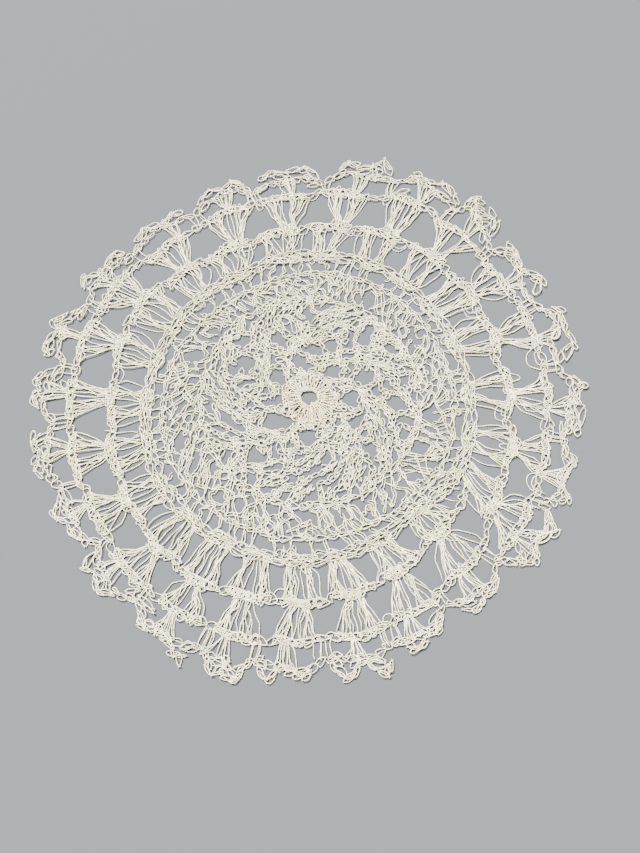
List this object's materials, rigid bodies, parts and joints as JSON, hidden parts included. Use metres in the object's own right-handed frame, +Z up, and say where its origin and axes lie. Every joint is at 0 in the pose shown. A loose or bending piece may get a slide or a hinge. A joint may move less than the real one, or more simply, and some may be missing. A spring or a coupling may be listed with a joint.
{
  "type": "crocheted lace doily",
  "caption": "Round crocheted lace doily that lies flat under a dish or ornament, with an open eye, a swirling pinwheel, rounds of shell stitches and a scalloped picot edge.",
  "frame": {"origin": "middle of the open eye, on the surface that the doily lies on", "axes": "+Z up out of the cloth, +Y away from the viewer, +X to the viewer's right"},
  "size_m": [0.192, 0.1898, 0.002],
  "materials": {
    "cotton_thread": "unbleached mercerised cotton thread, matt with a faint sheen"
  },
  "bodies": {
    "root": {"doily": "cotton_thread"}
  },
  "joints": []
}
